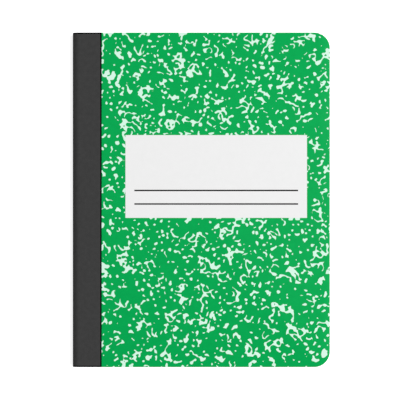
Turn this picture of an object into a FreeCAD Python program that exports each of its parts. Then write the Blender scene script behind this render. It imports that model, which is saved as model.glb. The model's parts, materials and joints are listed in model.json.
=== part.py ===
import FreeCAD, Part
import math
import os
import random

import Sketcher
from FreeCAD import Placement, Rotation, Vector

# Composition notebook, lying on its back cover. X runs from the spine to the fore edge, Y from
# the tail to the head and Z from the back cover up to the front cover. The origin is in the
# middle of the footprint, at the height of the lowest face, which is the tape on the back.

# Driving dimensions, in millimetres where the name does not say otherwise
SIZES = {
    # the closed book
    "book_width": 190.5,
    "book_height": 247.65,
    "corner_radius": 11.5,
    # the pages: one gathering of sheets, folded and nested
    "leaf_count": 100,
    "leaf_thickness": 0.076,
    "page_inset": 0.3,
    # the cover board and the tape over it
    "board_thickness": 0.8,
    "tape_thickness": 0.25,
    "tape_width": 21.6,
    # the creases that the covers turn at
    "crease_offset": 1.0,
    "crease_gap": 0.3,
    # the seam through the fold
    "thread_width": 0.5,
    "thread_depth": 0.3,
    "thread_recess": 0.02,
    "stitch_length": 6.5,
    "seam_end": 6.0,
    # the print on the covers
    "ink_thickness": 0.05,
    "panel_from_spine": 39.2,
    "panel_from_head": 75.9,
    "panel_width": 134.4,
    "panel_height": 61.3,
    "rule_inset": 6.6,
    "rule_thickness": 0.75,
    "rule_pitch": 10.0,
    "rule_rise": 10.3,
    "fleck_reach_min": 1.6,
    "fleck_reach_max": 8.5,
    "fleck_spacing": 0.5,
    "front_fleck_pitch": 10.4,
    "back_fleck_pitch": 14.1,
}

doc = FreeCAD.newDocument("CompositionNotebook")
sheet = doc.addObject("Spreadsheet::Sheet", "Sizes")
for row, (name, number) in enumerate(SIZES.items(), start=1):
    sheet.set(f"A{row}", name)
    sheet.set(f"B{row}", str(number))
    sheet.setAlias(f"B{row}", name)
doc.recompute()

# Places worked out from the driving dimensions, as expressions for the objects to be bound to
FOLD_RADIUS = "(Sizes.leaf_count * Sizes.leaf_thickness / 2)"
BOARD_RADIUS = f"({FOLD_RADIUS} + Sizes.board_thickness)"
TAPE_RADIUS = f"({BOARD_RADIUS} + Sizes.tape_thickness)"
FOLD_X = f"({TAPE_RADIUS} - Sizes.book_width / 2)"
FOLD_Z = TAPE_RADIUS
FORE_EDGE = "(Sizes.book_width / 2)"
HEAD = "(Sizes.book_height / 2)"
SPINE_SIDE_OF_CREASE = f"({FOLD_X} + Sizes.crease_offset - Sizes.crease_gap / 2)"
COVER_SIDE_OF_CREASE = f"({FOLD_X} + Sizes.crease_offset + Sizes.crease_gap / 2)"
TAPE_EDGE = "(Sizes.tape_width - Sizes.book_width / 2)"
FRONT_BOARD_Z = f"({FOLD_Z} + {FOLD_RADIUS})"
FRONT_FACE_Z = f"({FOLD_Z} + {BOARD_RADIUS})"
BACK_FACE_Z = "Sizes.tape_thickness"
PANEL_X = "(Sizes.panel_from_spine - Sizes.book_width / 2)"
PANEL_Y = f"({HEAD} - Sizes.panel_from_head - Sizes.panel_height)"
SEAM_LENGTH = "(Sizes.book_height - 2 * Sizes.seam_end)"
STITCH_PAIRS = f"floor({SEAM_LENGTH} / (2 * Sizes.stitch_length))"


def value(text):
    """The number that an expression gives."""
    return float(sheet.evalExpression(text))


def origin_plane(body, role):
    """One of the origin planes of the body itself."""
    return next(item for item in body.Origin.OriginFeatures if item.Role == role)


def new_body(name):
    body = doc.addObject("PartDesign::Body", name)
    body.Label = name
    return body


def new_sketch(body, name, role, offset="0"):
    """A sketch on an origin plane of its body, raised along that plane's normal."""
    sketch = body.newObject("Sketcher::SketchObject", name)
    sketch.AttachmentSupport = [(origin_plane(body, role), "")]
    sketch.MapMode = "FlatFace"
    sketch.setExpression("AttachmentOffset.Base.z", offset)
    return sketch


def pin_point(sketch, curve, point, x_text, y_text):
    """Ties a point of a curve to two expressions, measured from the sketch's origin."""
    for kind, text in (("DistanceX", x_text), ("DistanceY", y_text)):
        number = sketch.addConstraint(
            Sketcher.Constraint(kind, -1, 1, curve, point, value(text))
        )
        sketch.setExpression(f"Constraints[{number}]", text)


def draw_outline(sketch, corners):
    """A closed outline of straight lines. Each corner is a pair of expressions."""
    points = [Vector(value(x), value(y), 0) for x, y in corners]
    first = sketch.GeometryCount
    for number, start in enumerate(points):
        sketch.addGeometry(Part.LineSegment(start, points[(number + 1) % len(points)]))
    for number, (x_text, y_text) in enumerate(corners):
        before = first + (number - 1) % len(points)
        sketch.addConstraint(Sketcher.Constraint("Coincident", before, 2, first + number, 1))
        pin_point(sketch, first + number, 1, x_text, y_text)


def draw_fold_section(sketch, radii, end_x):
    """The section of what is folded round the spine: half-round at the fold, flat beyond it.

    With one radius it is solid inside, with two it is a shell between them. Both flat
    stretches end at end_x.
    """
    lines = []
    for radius in radii:
        low = (FOLD_X, f"{FOLD_Z} - {radius}")
        high = (FOLD_X, f"{FOLD_Z} + {radius}")
        centre = Vector(value(FOLD_X), value(FOLD_Z), 0)
        circle = Part.Circle(centre, Vector(0, 0, 1), value(radius))
        arc = sketch.addGeometry(Part.ArcOfCircle(circle, math.pi / 2, 3 * math.pi / 2))
        pin_point(sketch, arc, 1, *high)
        pin_point(sketch, arc, 2, *low)
        for point, (x_text, y_text) in ((2, low), (1, high)):
            start = Vector(value(x_text), value(y_text), 0)
            end = Vector(value(end_x), value(y_text), 0)
            line = sketch.addGeometry(Part.LineSegment(start, end))
            sketch.addConstraint(Sketcher.Constraint("Coincident", arc, point, line, 1))
            pin_point(sketch, line, 2, end_x, y_text)
            lines.append(line)
        # with its centre on the line between its ends, the arc is half a circle
        level = sketch.addConstraint(
            Sketcher.Constraint("DistanceX", -1, 1, arc, 3, value(FOLD_X))
        )
        sketch.setExpression(f"Constraints[{level}]", FOLD_X)
    ends = ((lines[0], lines[1]),) if len(radii) == 1 else (lines[0::2], lines[1::2])
    for one, other in ends:
        start = sketch.getPoint(one, 2)
        end = sketch.getPoint(other, 2)
        closing = sketch.addGeometry(Part.LineSegment(start, end))
        sketch.addConstraint(Sketcher.Constraint("Coincident", one, 2, closing, 1))
        sketch.addConstraint(Sketcher.Constraint("Coincident", other, 2, closing, 2))


def add_pad(body, sketch, name, length, symmetric=False):
    pad = body.newObject("PartDesign::Pad", name)
    pad.Profile = sketch
    pad.SideType = "Symmetric" if symmetric else "One side"
    pad.setExpression("Length", length)
    body.Tip = pad
    doc.recompute()
    return pad


def round_fore_corners(body, feature, name, radius):
    """Rounds the two upright edges at the fore edge, at the head and at the tail."""
    far = feature.Shape.BoundBox.XMax
    edges = []
    for number, edge in enumerate(feature.Shape.Edges, start=1):
        box = edge.BoundBox
        upright = box.XLength < 1e-6 and box.YLength < 1e-6
        if upright and abs(box.XMax - far) < 1e-6:
            edges.append(f"Edge{number}")
    fillet = body.newObject("PartDesign::Fillet", name)
    fillet.Base = (feature, edges)
    fillet.setExpression("Radius", radius)
    body.Tip = fillet
    doc.recompute()


def add_folded_piece(name, radii, end_x, height):
    """A piece with the fold's section all along the spine."""
    body = new_body(name)
    sketch = new_sketch(body, f"{name}_section", "XZ_Plane")
    draw_fold_section(sketch, radii, end_x)
    pad = add_pad(body, sketch, f"{name}_length", height, symmetric=True)
    return body, pad


def add_cover_board(name, low_z):
    """A flat cover: square at the crease, with round corners at the fore edge."""
    body = new_body(name)
    sketch = new_sketch(body, f"{name}_plan", "XY_Plane", low_z)
    corners = [
        (COVER_SIDE_OF_CREASE, f"-{HEAD}"),
        (FORE_EDGE, f"-{HEAD}"),
        (FORE_EDGE, HEAD),
        (COVER_SIDE_OF_CREASE, HEAD),
    ]
    draw_outline(sketch, corners)
    pad = add_pad(body, sketch, f"{name}_board", "Sizes.board_thickness")
    round_fore_corners(body, pad, f"{name}_corners", "Sizes.corner_radius")
    return body


def add_slab(name, corner, lengths):
    """A flat rectangular piece. Both its lowest corner and its lengths are expressions."""
    slab = doc.addObject("Part::Box", name)
    slab.Label = name
    for axis, text in zip("xyz", corner):
        slab.setExpression(f"Placement.Base.{axis}", text)
    for side, text in zip(("Length", "Width", "Height"), lengths):
        slab.setExpression(side, text)
    return slab


def add_thread():
    """The thread of the seam: runs on the outside of the fold, legs through it, and runs inside."""
    body = new_body("binding_thread")
    outside = f"({FOLD_X} - {BOARD_RADIUS} + Sizes.thread_recess)"
    outside_in = f"({outside} + Sizes.thread_depth)"
    inside = f"({FOLD_X} + Sizes.thread_depth)"
    inside_out = FOLD_X
    start = f"(-{STITCH_PAIRS} * Sizes.stitch_length - Sizes.thread_depth / 2)"
    stitch = "Sizes.stitch_length"
    depth = "Sizes.thread_depth"
    # one stitch on the outside, then one on the inside
    corners = [
        (outside, start),
        (outside_in, start),
        (outside_in, f"{start} + {stitch}"),
        (inside, f"{start} + {stitch}"),
        (inside, f"{start} + 2 * {stitch} + {depth}"),
        (outside, f"{start} + 2 * {stitch} + {depth}"),
        (outside, f"{start} + 2 * {stitch}"),
        (inside_out, f"{start} + 2 * {stitch}"),
        (inside_out, f"{start} + {stitch} + {depth}"),
        (outside, f"{start} + {stitch} + {depth}"),
    ]
    sketch = new_sketch(body, "stitch_pair_plan", "XY_Plane", FOLD_Z)
    draw_outline(sketch, corners)
    pair = add_pad(body, sketch, "stitch_pair", "Sizes.thread_width", symmetric=True)
    seam = body.newObject("PartDesign::LinearPattern", "seam")
    seam.Originals = [pair]
    seam.Direction = (sketch, ["V_Axis"])
    seam.Mode = "Spacing"
    seam.setExpression("Offset", f"2 * {stitch}")
    seam.setExpression("Occurrences", STITCH_PAIRS)
    body.Tip = seam
    return body


def cut_for_thread(name, base, thread):
    """The piece with the holes and grooves that the thread lies in."""
    cut = doc.addObject("Part::Cut", name)
    cut.Label = name
    cut.Base = base
    cut.Tool = thread
    return cut


def fleck_corners(chance, middle, reach):
    """Corners of one irregular fleck, none of them further than reach from its middle."""
    turn = chance.uniform(0, 2 * math.pi)
    slimness = chance.uniform(0.6, 1.0)
    count = chance.choice((4, 5, 5, 6))
    corners = []
    for number in range(count):
        angle = 2 * math.pi * (number + chance.uniform(-0.25, 0.25)) / count
        radius = reach * chance.uniform(0.7, 1.0)
        spoke = Vector(radius * math.cos(angle), radius * math.sin(angle) * slimness, 0)
        corners.append(middle + Rotation(Vector(0, 0, 1), math.degrees(turn)).multVec(spoke))
    return corners


def scatter_flecks(seed, field, pitch):
    """Flecks thrown at random on a flat field, the largest first, none touching another.

    There is one fleck for each square of the pitch that the field's area holds.
    """
    chance = random.Random(seed)
    box = field.BoundBox
    small = value("Sizes.fleck_reach_min")
    large = value("Sizes.fleck_reach_max")
    spacing = value("Sizes.fleck_spacing")
    count = round(field.Area / pitch ** 2)
    reaches = [small + (large - small) * chance.random() ** 2.2 for _ in range(count)]
    placed = []
    faces = []
    for reach in sorted(reaches, reverse=True):
        for _ in range(400):
            middle = Vector(
                chance.uniform(box.XMin, box.XMax), chance.uniform(box.YMin, box.YMax), 0
            )
            clear = all(
                (middle - other).Length > reach + taken + spacing for other, taken in placed
            )
            if clear:
                break
        else:
            continue
        placed.append((middle, reach))
        corners = fleck_corners(chance, middle, reach)
        faces.append(Part.Face(Part.makePolygon(corners + corners[:1])))
    return Part.makeCompound(faces).common(field)


def cover_field():
    """The printed face of a cover between the tape and the rounded fore edge, at height 0."""
    left = value(TAPE_EDGE)
    right = value(FORE_EDGE)
    head = value(HEAD)
    radius = value("Sizes.corner_radius")
    plate = Part.makePlane(right - left, 2 * head, Vector(left, -head, 0))
    slab = plate.extrude(Vector(0, 0, 1))
    corners = [
        edge
        for edge in slab.Edges
        if edge.BoundBox.ZLength > 0.5 and abs(edge.BoundBox.XMax - right) < 1e-6
    ]
    rounded = slab.makeFillet(radius, corners)
    return next(face for face in rounded.Faces if abs(face.BoundBox.ZMax) < 1e-6)


def add_marbling(name, seed, field, pitch, z_text, upward):
    """The light flecks of the marbled print, as thin solids on the face of a cover."""
    faces = scatter_flecks(seed, field, pitch)
    ink = value("Sizes.ink_thickness")
    solids = [face.extrude(Vector(0, 0, ink if upward else -ink)) for face in faces.Faces]
    marbling = doc.addObject("Part::Feature", name)
    marbling.Label = name
    marbling.Shape = Part.makeCompound(solids)
    marbling.Placement = Placement(Vector(0, 0, value(z_text)), Rotation())
    return marbling


# The pages: one gathering, half-round at the fold, with the corners cut round with the covers
pages, pages_pad = add_folded_piece(
    "folded_sheets", [FOLD_RADIUS], f"({FORE_EDGE} - Sizes.page_inset)",
    "Sizes.book_height - 2 * Sizes.page_inset",
)
round_fore_corners(
    pages, pages_pad, "page_corners", "Sizes.corner_radius - Sizes.page_inset"
)

# The cover: one board, creased along both sides of the spine, here as three stiff pieces
spine_board, _ = add_folded_piece(
    "folded_board", [FOLD_RADIUS, BOARD_RADIUS], SPINE_SIDE_OF_CREASE, "Sizes.book_height"
)
front_cover = add_cover_board("front_cover", FRONT_BOARD_Z)
back_cover = add_cover_board("back_cover", BACK_FACE_Z)

# The seam, and the pages and the spine of the cover with the holes that it makes in them
binding_thread = add_thread()
doc.recompute()
page_block = cut_for_thread("page_block", pages, binding_thread)
cover_spine = cut_for_thread("cover_spine", spine_board, binding_thread)

# The tape that covers the seam: round the spine, and a flat strip on each cover
spine_tape, _ = add_folded_piece(
    "spine_tape", [BOARD_RADIUS, TAPE_RADIUS], SPINE_SIDE_OF_CREASE, "Sizes.book_height"
)
strip_lengths = (
    f"{TAPE_EDGE} - {COVER_SIDE_OF_CREASE}", "Sizes.book_height", "Sizes.tape_thickness",
)
front_tape_strip = add_slab(
    "front_tape_strip", (COVER_SIDE_OF_CREASE, f"-{HEAD}", FRONT_FACE_Z), strip_lengths
)
back_tape_strip = add_slab(
    "back_tape_strip", (COVER_SIDE_OF_CREASE, f"-{HEAD}", "0"), strip_lengths
)

# The white panel on the front, with two rules to write on
title_panel = add_slab(
    "title_panel", (PANEL_X, PANEL_Y, FRONT_FACE_Z),
    ("Sizes.panel_width", "Sizes.panel_height", "Sizes.ink_thickness"),
)
rules = [
    add_slab(
        f"rule_{number}",
        (
            f"{PANEL_X} + Sizes.rule_inset",
            f"{PANEL_Y} + Sizes.rule_rise + {number} * Sizes.rule_pitch"
            " - Sizes.rule_thickness / 2",
            f"{FRONT_FACE_Z} + Sizes.ink_thickness",
        ),
        (
            "Sizes.panel_width - 2 * Sizes.rule_inset",
            "Sizes.rule_thickness",
            "Sizes.ink_thickness",
        ),
    )
    for number in range(2)
]
title_rules = doc.addObject("Part::Compound", "title_rules")
title_rules.Label = "title_rules"
title_rules.Links = rules
doc.recompute()

# The marbled print: the front's flecks stop at the panel
panel_face = Part.makePlane(
    value("Sizes.panel_width"), value("Sizes.panel_height"),
    Vector(value(PANEL_X), value(PANEL_Y), 0),
)
front_field = cover_field().cut(panel_face)
front_marbling = add_marbling(
    "front_marbling", 11, front_field, value("Sizes.front_fleck_pitch"),
    FRONT_FACE_Z, True,
)
back_marbling = add_marbling(
    "back_marbling", 12, cover_field(), value("Sizes.back_fleck_pitch"),
    BACK_FACE_Z, False,
)
doc.recompute()

NODES = [
    page_block, binding_thread, cover_spine, front_cover, back_cover, spine_tape,
    front_tape_strip, back_tape_strip, title_panel, title_rules,
    front_marbling, back_marbling,
]
for item in doc.Objects:
    if "Invalid" in item.State or "Error" in item.State:
        raise RuntimeError(f"{item.Label} was not rebuilt: {item.State}")
for node in NODES:
    if node.Shape.isNull() or not node.Shape.isValid():
        raise RuntimeError(f"{node.Label} has no valid shape")

os.makedirs("parts", exist_ok=True)
for node in NODES:
    node.Shape.exportStep(f"parts/{node.Label}.step")
    print(node.Label, len(node.Shape.Solids), "solids", round(node.Shape.Volume, 2), "mm3")
print("overall", page_block.Shape.BoundBox, spine_tape.Shape.BoundBox)
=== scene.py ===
# %% [markdown]
# # A composition notebook
#
# The notebook lies closed on its back cover. X runs from the spine to the fore edge, Y from the
# tail to the head, and Z up through the pages. Its solid parts come in first, from the frame, in
# metres. Everything made below is laid round them: the folded board of the cover, the binding
# tape, the nested sheets with their ruling, and the marbled print.

import json
import math

import bmesh
import bpy
import numpy as np
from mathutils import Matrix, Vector
from mathutils.geometry import delaunay_2d_cdt


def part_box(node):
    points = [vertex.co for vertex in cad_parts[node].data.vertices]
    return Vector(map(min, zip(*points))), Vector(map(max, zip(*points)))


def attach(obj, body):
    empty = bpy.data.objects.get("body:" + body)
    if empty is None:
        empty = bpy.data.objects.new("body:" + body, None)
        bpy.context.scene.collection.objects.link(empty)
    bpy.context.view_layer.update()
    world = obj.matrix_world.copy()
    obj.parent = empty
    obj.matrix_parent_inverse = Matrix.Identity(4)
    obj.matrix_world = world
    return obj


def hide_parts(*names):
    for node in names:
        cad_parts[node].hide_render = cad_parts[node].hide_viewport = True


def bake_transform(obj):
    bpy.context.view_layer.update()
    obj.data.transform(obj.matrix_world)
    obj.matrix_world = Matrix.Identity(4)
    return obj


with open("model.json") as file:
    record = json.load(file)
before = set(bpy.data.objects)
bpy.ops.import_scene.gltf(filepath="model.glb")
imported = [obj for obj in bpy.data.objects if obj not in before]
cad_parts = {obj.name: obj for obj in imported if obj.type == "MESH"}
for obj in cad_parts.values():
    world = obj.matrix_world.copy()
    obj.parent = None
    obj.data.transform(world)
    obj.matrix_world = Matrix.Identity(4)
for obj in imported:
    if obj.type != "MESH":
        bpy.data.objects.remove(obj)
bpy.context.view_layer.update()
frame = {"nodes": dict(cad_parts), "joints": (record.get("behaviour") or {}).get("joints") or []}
print("nodes:", sorted(frame["nodes"]))

# %% [markdown]
# The sizes are read from the solid parts, so that the new pieces fit them. A box says nothing
# about round corners, so only their radius is written here. Sheets of paper, board and tape all
# turn round one line, the axis of the fold. It runs along the spine, half-way up the pages. The
# front cover lies above it and the back cover below, which FRONT and BACK stand for. Both hinges
# lie at the same x.

# %% Read the sizes
MM = 0.001
FRONT, BACK = 1, -1
CORNER_RADIUS = 11.5 * MM

pages_low, pages_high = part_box("page_block")
front_low, front_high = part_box("front_cover")
tape_low, tape_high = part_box("front_tape_strip")
panel_low, panel_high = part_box("title_panel")
rules_low, rules_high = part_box("title_rules")

board_thickness = front_high.z - front_low.z
tape_thickness = tape_high.z - tape_low.z
ink_thickness = panel_high.z - panel_low.z
fold_radius = (pages_high.z - pages_low.z) / 2
outer_radius = fold_radius + board_thickness
fold_x = pages_low.x + fold_radius
fold_z = (pages_high.z + pages_low.z) / 2
hinge_x = frame["joints"][0]["pos_m"][0]
tape_edge = tape_high.x
fore_edge = front_high.x
head = front_high.y
print("fold radius, mm:", round(fold_radius / MM, 3), " hinge at x, mm:", round(hinge_x / MM, 2))

# %% [markdown]
# ## Helpers for modelling by hand
#
# An operator works on whatever is selected, so each piece begins with nothing selected, and in
# edit mode the parts to work on are chosen by where they are.

# %% Select, apply and join
SLACK = 0.01 * MM


def start_fresh():
    if bpy.context.object and bpy.context.object.mode != "OBJECT":
        bpy.ops.object.mode_set(mode="OBJECT")
    bpy.ops.object.select_all(action="DESELECT")


def select_only(pieces):
    """Selects these pieces, and makes the first of them the active one."""
    start_fresh()
    for piece in pieces:
        piece.select_set(True)
    bpy.context.view_layer.objects.active = pieces[0]


def near(value, place):
    return abs(value - place) < SLACK


def pick(kind, test):
    """In edit mode, selects the vertices, edges or faces whose corners all pass the test."""
    bpy.ops.mesh.select_mode(type=kind)
    bpy.ops.mesh.select_all(action="DESELECT")
    mesh = bmesh.from_edit_mesh(bpy.context.object.data)
    if kind == "VERT":
        for vertex in mesh.verts:
            vertex.select_set(test(vertex.co))
    else:
        for part in mesh.edges if kind == "EDGE" else mesh.faces:
            part.select_set(all(test(corner.co) for corner in part.verts))
    bmesh.update_edit_mesh(bpy.context.object.data)


def apply_modifier(piece, kind, **settings):
    modifier = piece.modifiers.new(kind.title(), kind)
    for name, value in settings.items():
        setattr(modifier, name, value)
    bpy.ops.object.modifier_apply(modifier=modifier.name)


def join_pieces(name, parts):
    """Makes one piece of several, each with its place already in its mesh."""
    select_only(parts)
    bpy.ops.object.join()
    piece = bpy.context.object
    piece.name = piece.data.name = name
    return piece


def report(piece):
    triangles = sum(len(face.vertices) - 2 for face in piece.data.polygons)
    print(piece.name, "triangles:", triangles)


# %% [markdown]
# ## Finishes
#
# Ink, paper, board and tape are all nearly flat in colour. What makes them real up close is
# small: fibres in the paper, a slight mottle in the ink, the weave of the tape. Images could
# give these, but a script that stands alone has none, so each finish is a few textures worked
# out by Blender. Most are on Object coordinates, which are metres here, so a noise of scale 1000
# has grains of one millimetre.

# %% Nodes and noise
def new_finish(name):
    """A new material, its node tree and its shader."""
    finish = bpy.data.materials.new(name)
    finish.use_nodes = True
    shader = finish.node_tree.nodes["Principled BSDF"]
    return finish, finish.node_tree, shader


def add_node(tree, kind, **settings):
    node = tree.nodes.new(kind)
    for name, value in settings.items():
        setattr(node, name, value)
    return node


def add_math(tree, operation, first, second):
    """One calculation on two values. Each of them is a socket or a number."""
    node = add_node(tree, "ShaderNodeMath", operation=operation)
    for socket, value in zip(node.inputs, (first, second)):
        if isinstance(value, float):
            socket.default_value = value
        else:
            tree.links.new(value, socket)
    return node.outputs["Value"]


def place_on_piece(tree, stretch=(1, 1, 1)):
    """Object coordinates, each multiplied by a number of its own."""
    coordinates = add_node(tree, "ShaderNodeTexCoord")
    mapping = add_node(tree, "ShaderNodeMapping")
    mapping.inputs["Scale"].default_value = stretch
    tree.links.new(coordinates.outputs["Object"], mapping.inputs["Vector"])
    return mapping.outputs["Vector"]


def add_noise(tree, scale, detail=3, stretch=(1, 1, 1)):
    noise = add_node(tree, "ShaderNodeTexNoise")
    noise.inputs["Scale"].default_value = scale
    noise.inputs["Detail"].default_value = detail
    tree.links.new(place_on_piece(tree, stretch), noise.inputs["Vector"])
    return noise.outputs["Fac"]


# %% [markdown]
# A ramp turns a noise into colours. Nearly all of a noise lies between DARK_AT and LIGHT_AT, so
# the darkest and the lightest colour stand there.

# %% Colours and relief
DARK_AT, LIGHT_AT = 0.3, 0.7


def grey(value):
    return (value, value, value)


def shade(colour, share):
    return tuple(channel * share for channel in colour)


def add_ramp(tree, factor, stops):
    """Colours along a factor. Each stop is a place and a colour."""
    ramp = add_node(tree, "ShaderNodeValToRGB")
    elements = ramp.color_ramp.elements
    for element, (place, colour) in zip(elements, stops):
        element.position = place
        element.color = (*colour, 1.0)
    tree.links.new(factor, ramp.inputs["Fac"])
    return ramp.outputs["Color"]


def vary(tree, colour, factor, share):
    """The colour along a factor, from a share darker to a share lighter."""
    stops = [(DARK_AT, shade(colour, 1 - share)), (LIGHT_AT, shade(colour, 1 + share))]
    return add_ramp(tree, factor, stops)


def multiply(tree, first, second):
    """Two colours multiplied."""
    mix = add_node(tree, "ShaderNodeMix", data_type="RGBA", blend_type="MULTIPLY")
    mix.inputs["Factor"].default_value = 1.0
    tree.links.new(first, mix.inputs["A"])
    tree.links.new(second, mix.inputs["B"])
    return mix.outputs["Result"]


def add_bump(tree, shader, height, strength, depth):
    bump = add_node(tree, "ShaderNodeBump")
    bump.inputs["Strength"].default_value = strength
    bump.inputs["Distance"].default_value = depth
    tree.links.new(height, bump.inputs["Height"])
    tree.links.new(bump.outputs["Normal"], shader.inputs["Normal"])


# %% [markdown]
# The ink is laid on smooth paper and varnished thinly. So the green, the light flecks, the panel
# and the black rules share one gloss and one relief, and differ in their colour and in how much
# it varies. It varies in blotches of a few millimetres and in a grain of half a millimetre.

# %% Printed finishes
def printed_finish(name, colour, mottle):
    finish, tree, shader = new_finish(name)
    blotches = vary(tree, colour, add_noise(tree, scale=260, detail=4), mottle)
    grain = vary(tree, grey(1.0), add_noise(tree, scale=1900), mottle)
    tree.links.new(multiply(tree, blotches, grain), shader.inputs["Base Color"])
    roughness = vary(tree, grey(0.5), add_noise(tree, scale=900, detail=2), share=0.08)
    tree.links.new(roughness, shader.inputs["Roughness"])
    shader.inputs["Specular IOR Level"].default_value = 0.05
    add_bump(tree, shader, add_noise(tree, scale=2600), strength=0.25, depth=0.02 * MM)
    return finish


green_ink = printed_finish("cover_green", (0.0, 0.388, 0.083), mottle=0.035)
light_ink = printed_finish("fleck_white", (0.70, 0.97, 0.82), mottle=0.012)
panel_ink = printed_finish("panel_white", grey(0.888), mottle=0.008)
dark_ink = printed_finish("rule_black", grey(0.006), mottle=0.1)
print("printed finishes:", [ink.name for ink in (green_ink, light_ink, panel_ink, dark_ink)])


# %% [markdown]
# The pages are uncoated paper. Most of its fibres lie one way, here along the page's height, so
# its noise is drawn out along Y. The lining inside the cover is the same kind of paper, a little
# greyer, and the board's cut edge shows its grey pulp core.

# %% Paper finishes
ALONG_THE_PAGE = (1, 0.35, 1)


def paper_finish(name, colour, mottle, grain, roughness=0.85):
    finish, tree, shader = new_finish(name)
    fibres = add_noise(tree, scale=grain, detail=6, stretch=ALONG_THE_PAGE)
    tree.links.new(vary(tree, colour, fibres, mottle), shader.inputs["Base Color"])
    shader.inputs["Roughness"].default_value = roughness
    shader.inputs["Specular IOR Level"].default_value = 0.2
    tooth = add_noise(tree, scale=1.5 * grain, detail=4)
    add_bump(tree, shader, tooth, strength=0.3, depth=0.02 * MM)
    return finish


page_paper = paper_finish("leaf_paper", (0.83, 0.83, 0.80), mottle=0.02, grain=1400)
cover_lining = paper_finish("cover_lining", (0.70, 0.70, 0.66), mottle=0.03, grain=900)
board_core = paper_finish("board_core", (0.36, 0.34, 0.30), mottle=0.16, grain=2600,
                          roughness=0.95)
print("paper finishes:", [paper.name for paper in (page_paper, cover_lining, board_core)])


# %% [markdown]
# The binding tape is coated book cloth, dyed nearly black. Its threads cross at about two to a
# millimetre, and they have to follow the cloth round the spine, where X and Z both change. So
# the tape has a UV map that unrolls it, in metres, and the threads are two waves on that map.
# The pits between the threads, where the waves are low, are darker than their crowns: painted
# shade in the pits, and a little painted light on the crowns. The tape's cut edge itself is near
# black, and a band beside it on the top of the tape is painted the same near black: painted
# shade, standing for the dark line at the tape's raised edge.

# %% Tape finishes
UNROLLED = "unrolled"
THREAD_PITCH = 0.45 * MM
WAVE_RATE = 20
PIT_AT, CROWN_AT = 0.2, 0.8
PAINTED_PIT_SHADE, PAINTED_CROWN_LIGHT = 0.62, 1.08


def add_threads(tree, direction):
    """A wave across the unrolled tape. Blender's wave runs WAVE_RATE times its scale."""
    unrolled = add_node(tree, "ShaderNodeUVMap", uv_map=UNROLLED)
    wave = add_node(tree, "ShaderNodeTexWave", bands_direction=direction)
    wave.inputs["Scale"].default_value = 2 * math.pi / (WAVE_RATE * THREAD_PITCH)
    wave.inputs["Distortion"].default_value = 1.2
    wave.inputs["Detail Scale"].default_value = 1.5
    tree.links.new(unrolled.outputs["UV"], wave.inputs["Vector"])
    return wave.outputs["Fac"]


def tape_finish(name, colour, thread_height, shine):
    finish, tree, shader = new_finish(name)
    weave = add_math(tree, "MAXIMUM", add_threads(tree, "X"), add_threads(tree, "Y"))
    # Painted shade: the colour is darker in the pits of the weave, and a little lighter on the
    # crowns.
    painted_weave_shade = add_ramp(tree, weave, [(PIT_AT, grey(PAINTED_PIT_SHADE)), (CROWN_AT, grey(PAINTED_CROWN_LIGHT))])
    cloudy = vary(tree, colour, add_noise(tree, scale=320, detail=4), share=0.08)
    tree.links.new(multiply(tree, cloudy, painted_weave_shade), shader.inputs["Base Color"])
    shader.inputs["Roughness"].default_value = 0.6
    shader.inputs["Specular IOR Level"].default_value = shine
    add_bump(tree, shader, weave, strength=0.5, depth=thread_height)
    return finish


tape_cloth = tape_finish("tape_cloth", grey(0.0475), thread_height=0.05 * MM, shine=0.05)
# Near black, for the cut rim and for the painted shade along the tape's edges.
tape_cut_and_edge_shade = tape_finish("tape_cut_and_edge_shade", grey(0.003), thread_height=0.03 * MM, shine=0.0)
print("tape finishes:", tape_cloth.name, tape_cut_and_edge_shade.name)

# %% [markdown]
# ## A sheet that folds round the spine
#
# The cover is one sheet of board, folded round the pages, and the tape is glued over its fold.
# Each opens at a crease beside the spine, on the front and on the back. So each is modelled in
# two halves that meet along the middle of the spine, where nothing moves.
#
# A modifier could bend a flat sheet round, but a spin gives a true arc about the fold's axis, and
# leaves the cover flat. So a half starts as a plane, the flat side of the cover. On the board,
# the two outer corners are bevelled round. The edge at the fold is then spun a quarter turn,
# which gives the rounded spine. Where the crease will bend, the sheet is sliced into fine
# strips, so that it turns in a smooth curve.

# %% Draw, round and slice
def add_flat_side(name, x_low, x_high, half_height, z):
    """A level rectangle, as tall below the middle as above it, with its place in its mesh."""
    start_fresh()
    bpy.ops.mesh.primitive_plane_add(size=1, location=((x_low + x_high) / 2, 0, z))
    piece = bpy.context.object
    piece.name = piece.data.name = name
    piece.scale = (x_high - x_low, 2 * half_height, 1)
    bpy.ops.object.transform_apply(location=True, rotation=True, scale=True)
    return piece


def round_corners(x_edge, radius, segments):
    """In edit mode, rounds the corners on the edge at x."""
    pick("VERT", lambda co: near(co.x, x_edge))
    bpy.ops.mesh.bevel(offset=radius, segments=segments, affect="VERTICES", profile=0.5)


def slice_across(places):
    """In edit mode, cuts the whole sheet at each place along X."""
    for place in places:
        bpy.ops.mesh.select_all(action="SELECT")
        bpy.ops.mesh.bisect(plane_co=(place, 0, 0), plane_no=(1, 0, 0))


# %% [markdown]
# Solidify thickens the sheet on the side that its faces point to. Which side that is after a
# spin isn't certain. So double points are merged, the faces are made to agree, and they are
# flipped if the flat part of the sheet turns out to point the wrong way. Last, the rim's sharp
# edges are bevelled. The edges where the two halves meet are left sharp, so that no groove shows
# along the spine.

# %% Turn the faces and soften the rim
MERGE_REACH = 0.0005 * MM
SHARP_ANGLE = math.radians(50)
SMOOTH_ANGLE = math.radians(35)
SEAM_REACH = 0.1 * MM


def turn_faces(side, outwards):
    """In edit mode, turns all faces away from the fold, or else towards it."""
    bpy.ops.mesh.select_all(action="SELECT")
    bpy.ops.mesh.remove_doubles(threshold=MERGE_REACH)
    bpy.ops.mesh.normals_make_consistent(inside=False)
    mesh = bmesh.from_edit_mesh(bpy.context.object.data)
    flat_face = max(mesh.faces, key=lambda face: side * face.calc_center_median().z)
    if (side * flat_face.normal.z > 0) != outwards:
        bpy.ops.mesh.flip_normals()


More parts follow.
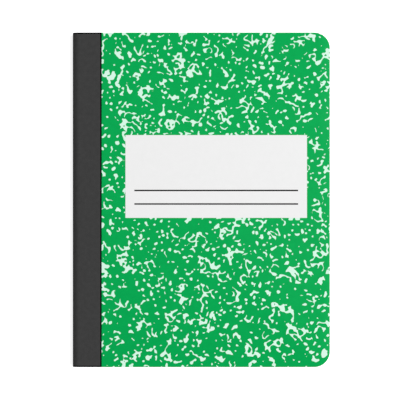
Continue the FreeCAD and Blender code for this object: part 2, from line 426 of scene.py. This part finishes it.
def soften_rim(offset):
    """In edit mode, bevels the sharp edges, but not those where the two halves meet."""
    bpy.ops.mesh.select_mode(type="EDGE")
    bpy.ops.mesh.select_all(action="DESELECT")
    bpy.ops.mesh.edges_select_sharp(sharpness=SHARP_ANGLE)
    mesh = bmesh.from_edit_mesh(bpy.context.object.data)
    for edge in mesh.edges:
        if edge.select and any(abs(end.co.z - fold_z) <= SEAM_REACH for end in edge.verts):
            edge.select_set(False)
    bmesh.update_edit_mesh(bpy.context.object.data)
    bpy.ops.mesh.bevel(offset=offset, segments=2, affect="EDGES")


# %% [markdown]
# One function makes a half of either sheet. With no window, Spin turns the other way round its
# axis, so the axis is given reversed. Solidify puts three finishes in place: the first for the
# side that grows outwards, the second for the side that was drawn, and the third for the rim.

# %% Half of a folded sheet
SPINE_STEPS = 24
CORNER_STEPS = 20
CREASE_REACH = 0.6 * MM
CREASE_STRIPS = 24


def add_folded_half(name, side, radius, x_edge, thickness, finishes, corner=None):
    piece = add_flat_side(name, fold_x, x_edge, head, fold_z + side * radius)
    for finish in finishes:
        piece.data.materials.append(finish)
    bpy.ops.object.mode_set(mode="EDIT")
    if corner:
        round_corners(x_edge, corner, CORNER_STEPS)
    pick("EDGE", lambda co: near(co.x, fold_x))
    bpy.ops.mesh.spin(steps=SPINE_STEPS, angle=math.radians(90), axis=(0, side, 0),
                      center=(fold_x, 0, fold_z))
    slice_across(hinge_x + np.linspace(-CREASE_REACH, CREASE_REACH, CREASE_STRIPS + 1))
    turn_faces(side, outwards=True)
    bpy.ops.object.mode_set(mode="OBJECT")
    apply_modifier(piece, "SOLIDIFY", thickness=thickness, offset=1.0,
                   material_offset=1, material_offset_rim=2)
    return piece


# %% [markdown]
# A cover opens by a half turn, which could go round either way. Here a half only has its place
# baked into its mesh: it is not bent at the crease, and no body carries it.

# %% Bake a half's place into its mesh
def bend_at_crease(piece, cover):
    if cover == "front_cover":
        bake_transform(piece)
    else:
        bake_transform(piece)


# %% [markdown]
# The board is printed on the outside, and lined with plain paper inside. Its cut edges show the
# grey pulp between the two, a little softened by handling.

# %% The two halves of the cover board
BOARD_SOFTENING = 0.09 * MM


def add_board(name, side, cover):
    board = add_folded_half(name, side, fold_radius, fore_edge, board_thickness,
                            [green_ink, cover_lining, board_core], CORNER_RADIUS)
    bpy.ops.object.mode_set(mode="EDIT")
    soften_rim(BOARD_SOFTENING)
    bpy.ops.object.mode_set(mode="OBJECT")
    bpy.ops.object.shade_smooth_by_angle(angle=SMOOTH_ANGLE)
    bend_at_crease(board, cover)
    report(board)
    return board


front_board = add_board("front_board", FRONT, "front_cover")
back_board = add_board("back_board", BACK, "back_cover")
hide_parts("front_cover", "cover_spine")
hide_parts("back_cover")


# %% [markdown]
# The tape lies over the fold and a little way onto each cover. Its cut edges, at the head, at the
# tail and on the cover, show as a fine black line, which is shade at the raised edge. So the
# sheet is sliced a little way in from each of them, and the narrow band gets the near-black
# finish of the cut, as painted shade. The UV map for the weave is set corner by corner: U runs
# round the spine and over the cover, and V along Y.

# %% The two halves of the binding tape
# The width of the band of painted shade along the tape's cut edges.
PAINTED_SHADE_BAND = 1.0 * MM
TAPE_SOFTENING = 0.05 * MM


def paint_edge_shade(tape):
    """In edit mode, paints shade on the bands along the tape's cut edges, with the near-black
    finish of the cut.
    """
    tape.active_material_index = tape.data.materials.find(tape_cut_and_edge_shade.name)
    for direction, edge in (((1, 0, 0), tape_edge), ((0, 1, 0), head), ((0, -1, 0), head)):
        outwards, band_start = Vector(direction), edge - PAINTED_SHADE_BAND
        bpy.ops.mesh.select_all(action="SELECT")
        bpy.ops.mesh.bisect(plane_co=outwards * band_start, plane_no=outwards)
        pick("FACE", lambda co: co.dot(outwards) > band_start - SLACK)
        bpy.ops.object.material_slot_assign()


def unroll(piece, side, radius):
    layer = piece.data.uv_layers.new(name=UNROLLED)
    for loop in piece.data.loops:
        place = piece.data.vertices[loop.vertex_index].co
        along = place.x - fold_x
        if along < 0:
            turned = math.atan2(side * (place.z - fold_z), -along)
            along = (turned - math.pi / 2) * radius
        layer.data[loop.index].uv = (along, place.y)


def add_tape(name, side, cover):
    tape = add_folded_half(name, side, outer_radius, tape_edge, tape_thickness,
                           [tape_cloth, tape_cloth, tape_cut_and_edge_shade])
    bpy.ops.object.mode_set(mode="EDIT")
    paint_edge_shade(tape)
    soften_rim(TAPE_SOFTENING)
    bpy.ops.object.mode_set(mode="OBJECT")
    bpy.ops.object.shade_smooth_by_angle(angle=SMOOTH_ANGLE)
    unroll(tape, side, outer_radius)
    bend_at_crease(tape, cover)
    report(tape)
    return tape


front_tape = add_tape("front_tape", FRONT, "front_cover")
back_tape = add_tape("back_tape", BACK, "back_cover")
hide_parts("front_tape_strip", "spine_tape")
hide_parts("back_tape_strip")

# %% [markdown]
# ## The pages
#
# The pages are fifty large sheets, laid on each other, folded together and sewn through the
# fold. So at the head and the tail they show as nested loops, and at the fore edge as a hundred
# thin lines. One block with lines drawn on it would be quicker, but up close it would have no
# loops and no gaps. So each sheet is drawn as the lower leaf, spun half a turn round the fold,
# and drawn on into the upper leaf. A tight fold needs fewer steps than a wide one. Solidify then
# gives the paper its thickness, towards the fold. After trimming, no two sheets end at quite the
# same place, so each stops a little short, at random from a fixed seed.

# %% The folded sheets
SHEET_COUNT = 50
SHEET_GAP = 0.010 * MM
SHEET_SEED = 11
REACH_SCATTER, HEIGHT_SCATTER = 0.12 * MM, 0.05 * MM
FOLD_STEPS, FEWEST_STEPS = 28, 6
PAGE_CORNER_STEPS = 12
leaf_pitch = fold_radius / SHEET_COUNT
page_corner = CORNER_RADIUS - (fore_edge - pages_high.x)
chance = np.random.default_rng(SHEET_SEED)


def add_page_sheet(number):
    """The sheet of that number, counted from the outermost one, number 0."""
    radius = fold_radius - leaf_pitch * number - SHEET_GAP
    reach = pages_high.x - chance.uniform(0.0, REACH_SCATTER)
    half_height = pages_high.y - chance.uniform(0.0, HEIGHT_SCATTER)
    sheet = add_flat_side("page_sheet", fold_x, reach, half_height, fold_z - radius)
    bpy.ops.object.mode_set(mode="EDIT")
    pick("EDGE", lambda co: near(co.x, fold_x))
    steps = max(FEWEST_STEPS, round(FOLD_STEPS * math.sqrt(radius / fold_radius)))
    bpy.ops.mesh.spin(steps=steps, angle=math.pi, axis=(0, -1, 0), center=(fold_x, 0, fold_z))
    bpy.ops.mesh.extrude_edges_move(TRANSFORM_OT_translate={"value": (reach - fold_x, 0, 0)})
    round_corners(reach, page_corner, PAGE_CORNER_STEPS)
    turn_faces(FRONT, outwards=False)
    bpy.ops.object.mode_set(mode="OBJECT")
    apply_modifier(sheet, "SOLIDIFY", thickness=leaf_pitch - SHEET_GAP, offset=1.0)
    return sheet


page_stack = join_pieces("page_stack", [add_page_sheet(k) for k in range(SHEET_COUNT)])
bpy.ops.object.shade_smooth_by_angle(angle=SMOOTH_ANGLE)
page_stack.data.materials.append(page_paper)
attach(page_stack, "text_block")
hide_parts("page_block")
report(page_stack)
print("page stack, mm:", [round(size / MM, 2) for size in page_stack.dimensions])

# %% [markdown]
# Printed lines could be a pattern in the paper's finish. As very thin strips, they stay sharp
# in every view, and their places are plain numbers. A strip is a cube that is scaled flat, with
# its edges bevelled by very little. A line that is repeated is modelled once, and the others are
# copies of it, moved along Y.

# %% Strips of ink
STRIP_SOFTENING = 0.001 * MM


def add_strip(name, low, high, finish):
    start_fresh()
    low, high = Vector(low), Vector(high)
    bpy.ops.mesh.primitive_cube_add(size=1, location=(low + high) / 2)
    strip = bpy.context.object
    strip.name = strip.data.name = name
    strip.scale = high - low
    bpy.ops.object.transform_apply(location=True, rotation=True, scale=True)
    bpy.ops.object.mode_set(mode="EDIT")
    bpy.ops.mesh.select_all(action="SELECT")
    bpy.ops.mesh.bevel(offset=STRIP_SOFTENING, segments=1, affect="EDGES")
    bpy.ops.object.mode_set(mode="OBJECT")
    strip.data.materials.append(finish)
    return strip


def copy_strip(strip, rise):
    """A copy with its own mesh, further up the page."""
    select_only([strip])
    bpy.ops.object.duplicate_move(TRANSFORM_OT_translate={"value": (0, rise, 0)})
    bpy.ops.object.transform_apply(location=True, rotation=True, scale=True)
    return bpy.context.object


# %% [markdown]
# The first page and the last one show when a cover is opened. They are ruled for handwriting in
# pale blue, 8.7 mm apart, with a pink margin line 31.75 mm from the page's left edge. On the
# first page that edge is at the hinge, and on the last one it is the fore edge. The rules stay a
# little away from the fold and from the edges of the page. Their ink takes up a part of the gap
# between the page and the cover.

# %% The ruling of the first page and the last
RULE_PITCH = 8.7 * MM
RULE_WIDTH = 0.22 * MM
RULE_THICKNESS = 0.6 * SHEET_GAP
HEAD_SPACE, TAIL_SPACE = 27 * MM, 9 * MM
FOLD_SPACE, EDGE_SPACE = 2 * MM, 0.4 * MM
MARGIN = 31.75 * MM
rule_blue = printed_finish("rule_blue", (0.30, 0.46, 0.68), mottle=0.03)
rule_pink = printed_finish("rule_pink", (0.74, 0.34, 0.38), mottle=0.03)


def add_ruling(name, side):
    """Rules the first page, which faces the front cover, or the last, which faces the back."""
    face_z = fold_z + side * (fold_radius - SHEET_GAP)
    z_low, z_high = sorted((face_z, face_z + side * RULE_THICKNESS))
    top_y, lowest_y = pages_high.y - HEAD_SPACE, pages_low.y + TAIL_SPACE
    top_rule = add_strip(name, (fold_x + FOLD_SPACE, top_y - RULE_WIDTH / 2, z_low),
                         (pages_high.x - EDGE_SPACE, top_y + RULE_WIDTH / 2, z_high), rule_blue)
    more_rules = math.floor((top_y - lowest_y) / RULE_PITCH)
    strips = [top_rule]
    for number in range(1, more_rules + 1):
        strips.append(copy_strip(top_rule, -RULE_PITCH * number))
    margin_x = hinge_x + MARGIN if side == FRONT else pages_high.x - MARGIN
    strips.append(add_strip(
        name, (margin_x - RULE_WIDTH / 2, pages_low.y + EDGE_SPACE, z_low),
        (margin_x + RULE_WIDTH / 2, pages_high.y - EDGE_SPACE, z_high), rule_pink))
    ruling = join_pieces(name, strips)
    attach(ruling, "text_block")
    print("rules:", more_rules + 1)
    report(ruling)


add_ruling("first_page_ruling", FRONT)
add_ruling("last_page_ruling", BACK)

# %% [markdown]
# The sewing thread and the title panel have the right shape already, so the solid parts stay and
# only get their finish. The thread is twisted from strands. It runs along Y, and a diagonal wave
# with TWIST_SCALE gives it a strand every 0.7 mm or so. Its colour is darker in the grooves
# between the strands, which is painted shade.

# %% Finishes for the solid parts that stay
TWIST_SCALE = 900


def thread_finish(name, painted_groove_shade, crown):
    finish, tree, shader = new_finish(name)
    twist = add_node(tree, "ShaderNodeTexWave", bands_direction="DIAGONAL")
    twist.inputs["Scale"].default_value = TWIST_SCALE
    twist.inputs["Distortion"].default_value = 1.5
    tree.links.new(place_on_piece(tree), twist.inputs["Vector"])
    # Painted shade: darker grey in the grooves between the strands.
    stops = [(PIT_AT, grey(painted_groove_shade)), (CROWN_AT, grey(crown))]
    strands_with_painted_shade = add_ramp(tree, twist.outputs["Fac"], stops)
    tree.links.new(strands_with_painted_shade, shader.inputs["Base Color"])
    shader.inputs["Roughness"].default_value = 0.8
    add_bump(tree, shader, twist.outputs["Fac"], strength=0.5, depth=0.05 * MM)
    return finish


sewing_thread = thread_finish("twisted_thread", painted_groove_shade=0.55, crown=0.74)
for node, finish in (("binding_thread", sewing_thread), ("title_panel", panel_ink)):
    part = frame["nodes"][node]
    part.data.materials.clear()
    part.data.materials.append(finish)
    print(node, "is finished in", finish.name)

# %% [markdown]
# The two rules that a name is written on are printed heavily, and ink spreads a little in the
# paper, so each is drawn wider than its solid part by INK_SPREAD on both sides.

# %% The rules on the title panel
LABEL_RULE_WIDTH = 0.75 * MM
INK_SPREAD = 0.16 * MM
rule_top = rules_low.y + LABEL_RULE_WIDTH
lower_rule = add_strip("label_rules", (rules_low.x, rules_low.y - INK_SPREAD, rules_low.z),
                       (rules_high.x, rule_top + INK_SPREAD, rules_high.z), dark_ink)
upper_rule = copy_strip(lower_rule, rules_high.y - rule_top)
label_rules = join_pieces("label_rules", [lower_rule, upper_rule])
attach(label_rules, "front_cover")
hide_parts("title_rules")
report(label_rules)

# %% [markdown]
# ## The marbled print
#
# The cover is printed with the old marbled pattern of light flecks on a dark ground. No two
# flecks are alike: some are dots, some are dashes, and some branch like coral, with rounded
# ends. Shaping about a thousand of them on each cover by hand would take days, and copies of one
# fleck would show. So they are grown from noise, as cloud or camouflage patterns are.
#
# White noise is blurred by two amounts, and one result is taken from the other. What is left has
# blobs of one size only. It is worked out on a grid of small cells, a little larger than the
# printed part of a cover. From here to the filled flecks, lengths are in mm.

# %% Blobs of one size out of noise
CELL = 0.25
TAPE_LAP, END_LAP = 1.0, 0.6
columns = math.ceil(((fore_edge - tape_edge) / MM + TAPE_LAP) / CELL)
rows = math.ceil((2 * head / MM + 2 * END_LAP) / CELL)
row_rate = np.fft.fftfreq(rows, CELL)[:, None]
column_rate = np.fft.rfftfreq(columns, CELL)[None, :]
rate_squared = row_rate**2 + column_rate**2


def even_out(field):
    return (field - field.mean()) / field.std()


def blobs(noise, size, wider):
    """Noise blurred by size, less noise blurred by wider, both in mm."""
    narrow, wide = (np.exp(-2 * (math.pi * blur) ** 2 * rate_squared) for blur in (size, wider))
    wave = np.fft.rfft2(noise) * (narrow - wide)
    return even_out(np.fft.irfft2(wave, s=noise.shape))


print("cells of the print:", columns, "by", rows)

# %% [markdown]
# Five such fields, each with blobs of another size, make the pattern. The first is the dots, and
# the second the patches where they crowd together. Thin ridges, a little rounded, run where the
# third passes zero. They join the dots into arms inside a patch, wherever the fourth field, a
# wide one, is high. The fifth is wider still, and makes some parts of the cover fuller than
# others. What is above a level is fleck, and the level is set by the share of the field that is
# to be light, about a sixth.

# %% Grow the flecks
FLECK_SHARE = 0.166
DOTS, PATCHES, RIDGES = (0.84, 2.06), (2.3, 5.75), (1.41, 3.52)
QUARTERS, REGIONS = (5.0, 13.0), (7.0, 18.0)
RIDGE_ROUNDING = 0.1
RIDGE_WEIGHT, PATCH_WEIGHT, REGION_WEIGHT = 1.5, 0.42, 0.15
DOTS_LOST_TO_ARMS = 0.55


def soft_step(field, level, steepness):
    """Goes from 0 to 1 where the field passes the level."""
    return 1 / (1 + np.exp(-steepness * (field - level)))


def grow_flecks(seed):
    """A field in which what is above zero is fleck."""
    noise = np.random.default_rng(seed).standard_normal((5, rows, columns))
    dots, patches = blobs(noise[0], *DOTS), blobs(noise[1], *PATCHES)
    ridges = even_out(-np.hypot(blobs(noise[2], *RIDGES), RIDGE_ROUNDING))
    quarters = soft_step(blobs(noise[3], *QUARTERS), level=-0.5, steepness=2.0)
    arms = quarters * soft_step(patches, level=-0.2, steepness=6.0)
    crowding = PATCH_WEIGHT * patches + REGION_WEIGHT * blobs(noise[4], *REGIONS)
    field = dots * (1 - DOTS_LOST_TO_ARMS * arms) + RIDGE_WEIGHT * ridges * arms + crowding
    return field - np.quantile(field, 1 - FLECK_SHARE)


# %% [markdown]
# The print ends at the cover's trimmed edge, at the tape and at the title panel, and any fleck
# that lies across such a line is cut there. For that, the field is held below a slope that
# passes zero at each of these lines.

# %% Cut the field to the cover
EDGE_SLOPE = 1.2


def inside_box(x, y, low, high, corner=0.0):
    """How far inside a box each point is, in mm. The box's corners at its high x are round."""
    (x_low, y_low), (x_high, y_high) = low, high
    inside = np.minimum(np.minimum(x - x_low, x_high - x), np.minimum(y - y_low, y_high - y))
    if corner:
        dx = x - (x_high - corner)
        dy = np.abs(y - (y_low + y_high) / 2) - ((y_high - y_low) / 2 - corner)
        at_corner = (dx > 0) & (dy > 0)
        inside = np.where(at_corner, corner - np.hypot(dx, dy), inside)
    return inside


def in_mm(*values):
    return [value / MM for value in values]


def printed_field(side, seed):
    """The places of the grid's lines, in mm, and the field of one cover."""
    x = tape_edge / MM - TAPE_LAP + CELL * np.arange(columns + 1)
    y = -head / MM - END_LAP + CELL * np.arange(rows + 1)
    across, up = np.meshgrid(x, y)
    field = np.pad(grow_flecks(seed), ((0, 1), (0, 1)), mode="wrap")
    cover_part = inside_box(across, up, in_mm(tape_edge, -head), in_mm(fore_edge, head),
                            CORNER_RADIUS / MM)
    field = np.minimum(field, cover_part * EDGE_SLOPE)
    if side == FRONT:
        panel_part = inside_box(across, up, in_mm(*panel_low.xy), in_mm(*panel_high.xy))
        field = np.minimum(field, -panel_part * EDGE_SLOPE)
    return x, y, field


# %% [markdown]
# A fleck's outline is where the field crosses zero. In each cell of the grid, the outline passes
# between corners that are above zero and corners that are below. So each side of a cell whose
# ends differ holds one point of it. A cell has two such sides or none, or else four, and then
# its middle says which of them belong together.

# %% Find the outline's points
def zero_point(first, second):
    """How far along a side the field is zero, from 0 to 1."""
    return first / (first - second)


def find_points(field, x, y):
    """The points where the field is zero, and their numbers on each cell's sides, or else -1."""
    above = field > 0
    on_rows = np.full(field.shape, -1)
    i, j = np.nonzero(above[:, :-1] != above[:, 1:])
    on_rows[i, j] = np.arange(len(i))
    share = zero_point(field[i, j], field[i, j + 1])
    row_points = np.stack([x[j] + share * (x[j + 1] - x[j]), y[i]], axis=1)
    on_columns = np.full(field.shape, -1)
    i, j = np.nonzero(above[:-1, :] != above[1:, :])
    on_columns[i, j] = len(row_points) + np.arange(len(i))
    share = zero_point(field[i, j], field[i + 1, j])
    column_points = np.stack([x[j], y[i] + share * (y[i + 1] - y[i])], axis=1)
    low, high = on_rows[:-1, :-1], on_rows[1:, :-1]
    left, right = on_columns[:-1, :-1], on_columns[:-1, 1:]
    sides = np.stack([low, right, high, left], axis=-1).reshape(-1, 4)
    return np.concatenate([row_points, column_points]), sides


def link_points(field, sides):
    """The pairs of points that a cell joins."""
    count = (sides >= 0).sum(axis=1)
    corner = field[:-1, :-1].reshape(-1) > 0
    middle = (field[:-1, :-1] + field[1:, :-1] + field[:-1, 1:] + field[1:, 1:]).reshape(-1) > 0
    plain = np.sort(sides[count == 2], axis=1)
    joined = sides[(count == 4) & (middle == corner)]
    parted = sides[(count == 4) & (middle != corner)]
    return np.concatenate([plain[:, 2:], joined[:, [0, 1]], joined[:, [2, 3]],
                           parted[:, [0, 3]], parted[:, [1, 2]]])


# %% [markdown]
# From point to point, the pairs make closed rings. Points that lie nearly on a line with their
# neighbours are left out, and so are specks and pinholes too small to see.

# %% Rings round the flecks
SMALLEST_RING = 0.15
PLAINNESS = 0.02
FEWEST_POINTS = 10
TINY = 1e-9


def walk_rings(points, links):
    """Closed rings of points, in mm. Each point has two neighbours."""
    neighbours = [[] for _ in points]
    for a, b in links.tolist():
        neighbours[a].append(b)
        neighbours[b].append(a)
    used = [False] * len(points)
    rings = []
    for start in range(len(points)):
        ring, before, here = [], -1, start
        while not used[here]:
            used[here] = True
            ring.append(here)
            first, second = neighbours[here]
            before, here = here, (first if first != before else second)
        if ring:
            rings.append(points[ring])
    return rings


def ring_area(ring):
    after = np.roll(ring, -1, axis=0)
    return abs((ring[:, 0] * after[:, 1] - after[:, 0] * ring[:, 1]).sum()) / 2


def thin_out(ring):
    """Leaves out points that are less than PLAINNESS off the line, every other one at a time."""
    for parity in (0, 1, 0, 1):
        if len(ring) < FEWEST_POINTS:
            break
        before, after = np.roll(ring, 1, axis=0), np.roll(ring, -1, axis=0)
        run, step = after - before, ring - before
        length = np.maximum(np.hypot(run[:, 0], run[:, 1]), TINY)
        off_line = np.abs(run[:, 0] * step[:, 1] - run[:, 1] * step[:, 0]) / length
        due = np.arange(len(ring)) % 2 == parity
        due[-1] = False
        ring = ring[~(due & (off_line < PLAINNESS))]
    return ring


# %% [markdown]
# The rings are filled with triangles, and points closer than WELD are taken as one. A side with
# a triangle on one side only is the outer limit of them all. From there inwards, each step over
# a ring goes into a fleck or out of it, so a fleck with a hole in it comes out right.

# %% Fill the rings
WELD = 1e-7


def sides_of(face):
    """The sides of a face, each as its lower point number and its higher one."""
    return [(a, b) if a < b else (b, a) for a, b in zip(face, face[1:] + face[:1])]


def fill_rings(rings):
    """Points and triangles that fill the rings, with holes left open."""
    points = [Vector(point) for ring in rings for point in ring.tolist()]
    edges, start = [], 0
    for ring in rings:
        numbers = start + np.arange(len(ring))
        edges += np.stack([numbers, np.roll(numbers, -1)], axis=1).tolist()
        start += len(ring)
    points, made_edges, faces, _, old_edges, _ = delaunay_2d_cdt(points, edges, [], 0, WELD)
    walls = {tuple(sorted(edge)) for edge, old in zip(made_edges, old_edges) if old}
    beside = {}
    for number, face in enumerate(faces):
        for edge in sides_of(face):
            beside.setdefault(edge, []).append(number)
    inside = [None] * len(faces)
    waiting = []
    for edge, owners in beside.items():
        if len(owners) == 1 and inside[owners[0]] is None:
            inside[owners[0]] = edge in walls
            waiting.append(owners[0])
    while waiting:
        number = waiting.pop()
        for edge in sides_of(faces[number]):
            for other in beside[edge]:
                if inside[other] is None:
                    inside[other] = inside[number] != (edge in walls)
                    waiting.append(other)
    return points, [face for number, face in enumerate(faces) if inside[number]]


# %% [markdown]
# The flat flecks are laid on the board's outer side, facing away from it, and Solidify gives
# them the thickness of the ink. Each cover has a seed of its own, so the two prints differ.

# %% The print of both covers
FRONT_SEED, BACK_SEED = 21, 22


def add_print(name, side, seed, cover, node):
    x, y, field = printed_field(side, seed)
    points, sides = find_points(field, x, y)
    rings = walk_rings(points, link_points(field, sides))
    rings = [thin_out(ring) for ring in rings if ring_area(ring) > SMALLEST_RING]
    points, triangles = fill_rings(rings)
    outer_z = fold_z + side * outer_radius
    mesh = bpy.data.meshes.new(name)
    mesh.from_pydata([(px * MM, py * MM, outer_z) for px, py in points], [],
                     [face if side == FRONT else face[::-1] for face in triangles])
    mesh.materials.append(light_ink)
    piece = bpy.data.objects.new(name, mesh)
    bpy.context.scene.collection.objects.link(piece)
    select_only([piece])
    bpy.ops.object.mode_set(mode="EDIT")
    bpy.ops.mesh.select_all(action="SELECT")
    bpy.ops.mesh.delete_loose()
    bpy.ops.object.mode_set(mode="OBJECT")
    apply_modifier(piece, "SOLIDIFY", thickness=ink_thickness, offset=1.0)
    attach(piece, cover)
    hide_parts(node)
    print("flecks and holes:", len(rings))
    report(piece)


add_print("front_print", FRONT, FRONT_SEED, "front_cover", "front_marbling")
add_print("back_print", BACK, BACK_SEED, "back_cover", "back_marbling")

# %% [markdown]
# ## Floor, light and camera
#
# The photograph is taken from straight above, on white. The floor is a plain pale plane. It
# shines a little for the camera only, so that it shows white and still darkens where the
# notebook shades it. It lies 1.5 mm under the notebook, which leaves the back cover room to
# swing round and lie open.

# %% Floor
FLOOR_Z = -1.5 * MM
FLOOR_SIZE = 6
FLOOR_GREY = 0.8
FLOOR_GLOW = 0.76


def floor_finish(name):
    finish, tree, shader = new_finish(name)
    shader.inputs["Base Color"].default_value = (*grey(FLOOR_GREY), 1)
    shader.inputs["Roughness"].default_value = 1.0
    shader.inputs["Specular IOR Level"].default_value = 0.0
    rays = add_node(tree, "ShaderNodeLightPath")
    glow = add_math(tree, "MULTIPLY", rays.outputs["Is Camera Ray"], FLOOR_GLOW)
    tree.links.new(glow, shader.inputs["Emission Strength"])
    shader.inputs["Emission Color"].default_value = (1, 1, 1, 1)
    return finish


start_fresh()
bpy.ops.mesh.primitive_plane_add(size=FLOOR_SIZE, location=(0, 0, FLOOR_Z))
bpy.ops.object.transform_apply(location=True)
floor = bpy.context.object
floor.name = floor.data.name = "floor"
floor.data.materials.append(floor_finish("floor_white"))
print("floor at z, mm:", FLOOR_Z / MM)

# %% [markdown]
# A large soft lamp stands to the right, well off the camera's axis, so that it lights the cover
# evenly and leaves no glare. The spine turns away from it and grows dark, as in the
# photograph. The sky gives the rest of the light, and is white where it is seen directly or in a
# reflection.

# %% Lamp and sky
LAMP_SIZE = 3.6
LAMP_POWER = 212.0
LAMP_PLACE = (2.58, 0.36, 3.69)
SKY_LEVEL = 0.26

lamp = bpy.data.objects.new("key_lamp", bpy.data.lights.new("key_lamp", "AREA"))
lamp.data.size = LAMP_SIZE
lamp.data.energy = LAMP_POWER
lamp.location = LAMP_PLACE
lamp.rotation_euler = (-lamp.location).to_track_quat("-Z", "Y").to_euler()
bpy.context.scene.collection.objects.link(lamp)

world = bpy.data.worlds.new("sky")
world.use_nodes = True
bpy.context.scene.world = world
tree = world.node_tree
rays = add_node(tree, "ShaderNodeLightPath").outputs
mirrored = add_math(tree, "MAXIMUM", rays["Is Glossy Ray"], rays["Is Transmission Ray"])
level = add_node(tree, "ShaderNodeMapRange")
level.inputs["To Min"].default_value = SKY_LEVEL
level.inputs["To Max"].default_value = 1.0
tree.links.new(add_math(tree, "MAXIMUM", rays["Is Camera Ray"], mirrored), level.inputs["Value"])
background = tree.nodes["Background"]
background.inputs["Color"].default_value = (1, 1, 1, 1)
tree.links.new(level.outputs["Result"], background.inputs["Strength"])
print("lamp, W:", LAMP_POWER, " sky level:", SKY_LEVEL)

# %% [markdown]
# The camera looks straight down through a long lens, so that the sides of the book don't show.
# Its place puts the cover where it is in the photograph, at the size that it has there.

# %% Camera
LENS, SENSOR_WIDTH = 200, 36
CAMERA_PLACE = (-0.00086, -0.00013, 1.6545)
camera = bpy.data.objects.new("camera", bpy.data.cameras.new("camera"))
camera.data.lens = LENS
camera.data.sensor_width = SENSOR_WIDTH
camera.location = CAMERA_PLACE
bpy.context.scene.collection.objects.link(camera)
bpy.context.scene.camera = camera
bpy.context.scene.view_settings.view_transform = "Standard"
print("camera height, m:", CAMERA_PLACE[2])
